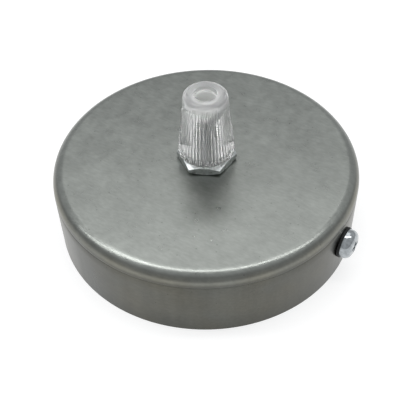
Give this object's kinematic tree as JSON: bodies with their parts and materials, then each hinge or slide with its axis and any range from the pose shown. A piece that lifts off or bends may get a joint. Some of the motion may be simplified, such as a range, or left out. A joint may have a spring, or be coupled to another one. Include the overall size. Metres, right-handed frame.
{
  "type": "electrical ceiling rose",
  "caption": "Shallow round steel ceiling canopy with a clear ribbed cord grip on a hexagon nut, side fixing screws, and a strap bracket with a terminal block inside.",
  "frame": {"origin": "centre of the canopy's open rim, in the plane that meets the ceiling", "axes": "+Z from the ceiling plane out through the cord grip; +X through the side screw at the front right of the picture, along the strap bracket; +Y towards the terminal block"},
  "size_m": [0.108, 0.1, 0.0512],
  "materials": {
    "canopy_steel": "brushed, unlacquered",
    "bracket_steel": "zinc plated",
    "zinc_plated_steel": "bright zinc",
    "clear_plastic": "clear, glossy",
    "collet_plastic": "translucent, satin",
    "black_rubber": "matt",
    "brass": "plain turned",
    "white_plastic": "moulded, satin"
  },
  "bodies": {
    "rose": {"canopy": "canopy_steel", "bracket": "bracket_steel", "grip_stem": "clear_plastic", "outer_lock_nut": "zinc_plated_steel", "inner_lock_nut": "zinc_plated_steel", "tooth_washer": "zinc_plated_steel", "terminal_block": "white_plastic", "terminal_tube_1": "brass", "terminal_tube_2": "brass", "terminal_tube_3": "brass", "block_screw_1": "zinc_plated_steel", "block_screw_2": "zinc_plated_steel"},
    "grip_collet": {"grip_collet": "collet_plastic"},
    "grip_cap": {"grip_cap": "clear_plastic"},
    "side_washer_right": {"side_washer_right": "black_rubber"},
    "side_screw_right": {"side_screw_right": "zinc_plated_steel"},
    "side_washer_left": {"side_washer_left": "black_rubber"},
    "side_screw_left": {"side_screw_left": "zinc_plated_steel"},
    "earth_washer": {"earth_washer": "brass"},
    "earth_screw": {"earth_screw": "brass"},
    "clamp_screw_1a": {"clamp_screw_1a": "zinc_plated_steel"},
    "clamp_screw_1b": {"clamp_screw_1b": "zinc_plated_steel"},
    "clamp_screw_2a": {"clamp_screw_2a": "zinc_plated_steel"},
    "clamp_screw_2b": {"clamp_screw_2b": "zinc_plated_steel"},
    "clamp_screw_3a": {"clamp_screw_3a": "zinc_plated_steel"},
    "clamp_screw_3b": {"clamp_screw_3b": "zinc_plated_steel"}
  },
  "joints": [
    {"name": "cap_travel", "type": "slide", "parent": "rose", "child": "grip_collet", "axis": [0, 0, 1], "range_m": [0, 0.011]},
    {"name": "cap_turn", "type": "hinge", "parent": "grip_collet", "child": "grip_cap", "pos_m": [0.00038, 0.00024, 0.04], "axis": [0, 0, 1], "range_deg": [0, 3960]},
    {"name": "side_screw_right_travel", "type": "slide", "parent": "rose", "child": "side_washer_right", "axis": [1, 0, 0], "range_m": [0, 0.0064]},
    {"name": "side_screw_right_turn", "type": "hinge", "parent": "side_washer_right", "child": "side_screw_right", "pos_m": [0.05085, 0, 0.012], "axis": [1, 0, 0], "range_deg": [0, 2880]},
    {"name": "side_screw_left_travel", "type": "slide", "parent": "rose", "child": "side_washer_left", "axis": [-1, 0, 0], "range_m": [0, 0.0064]},
    {"name": "side_screw_left_turn", "type": "hinge", "parent": "side_washer_left", "child": "side_screw_left", "pos_m": [-0.05085, 0, 0.012], "axis": [-1, 0, 0], "range_deg": [0, 2880]},
    {"name": "earth_screw_travel", "type": "slide", "parent": "rose", "child": "earth_washer", "axis": [0, -1, 0], "range_m": [0, 0.0042]},
    {"name": "earth_screw_turn", "type": "hinge", "parent": "earth_washer", "child": "earth_screw", "pos_m": [0, -0.01235, 0.008], "axis": [0, -1, 0], "range_deg": [0, 2160]},
    {"name": "clamp_screw_1a_travel", "type": "slide", "parent": "rose", "child": "clamp_screw_1a", "axis": [0, 0, -1], "range_m": [0, 0.003]},
    {"name": "clamp_screw_1b_travel", "type": "slide", "parent": "rose", "child": "clamp_screw_1b", "axis": [0, 0, -1], "range_m": [0, 0.003]},
    {"name": "clamp_screw_2a_travel", "type": "slide", "parent": "rose", "child": "clamp_screw_2a", "axis": [0, 0, -1], "range_m": [0, 0.003]},
    {"name": "clamp_screw_2b_travel", "type": "slide", "parent": "rose", "child": "clamp_screw_2b", "axis": [0, 0, -1], "range_m": [0, 0.003]},
    {"name": "clamp_screw_3a_travel", "type": "slide", "parent": "rose", "child": "clamp_screw_3a", "axis": [0, 0, -1], "range_m": [0, 0.003]},
    {"name": "clamp_screw_3b_travel", "type": "slide", "parent": "rose", "child": "clamp_screw_3b", "axis": [0, 0, -1], "range_m": [0, 0.003]}
  ],
  "couplings": [
    {"joint": "cap_turn", "follows": "cap_travel", "rad_per_m": 6283.2},
    {"joint": "side_screw_right_turn", "follows": "side_screw_right_travel", "rad_per_m": 7854},
    {"joint": "side_screw_left_turn", "follows": "side_screw_left_travel", "rad_per_m": 7854},
    {"joint": "earth_screw_turn", "follows": "earth_screw_travel", "rad_per_m": 8976}
  ]
}
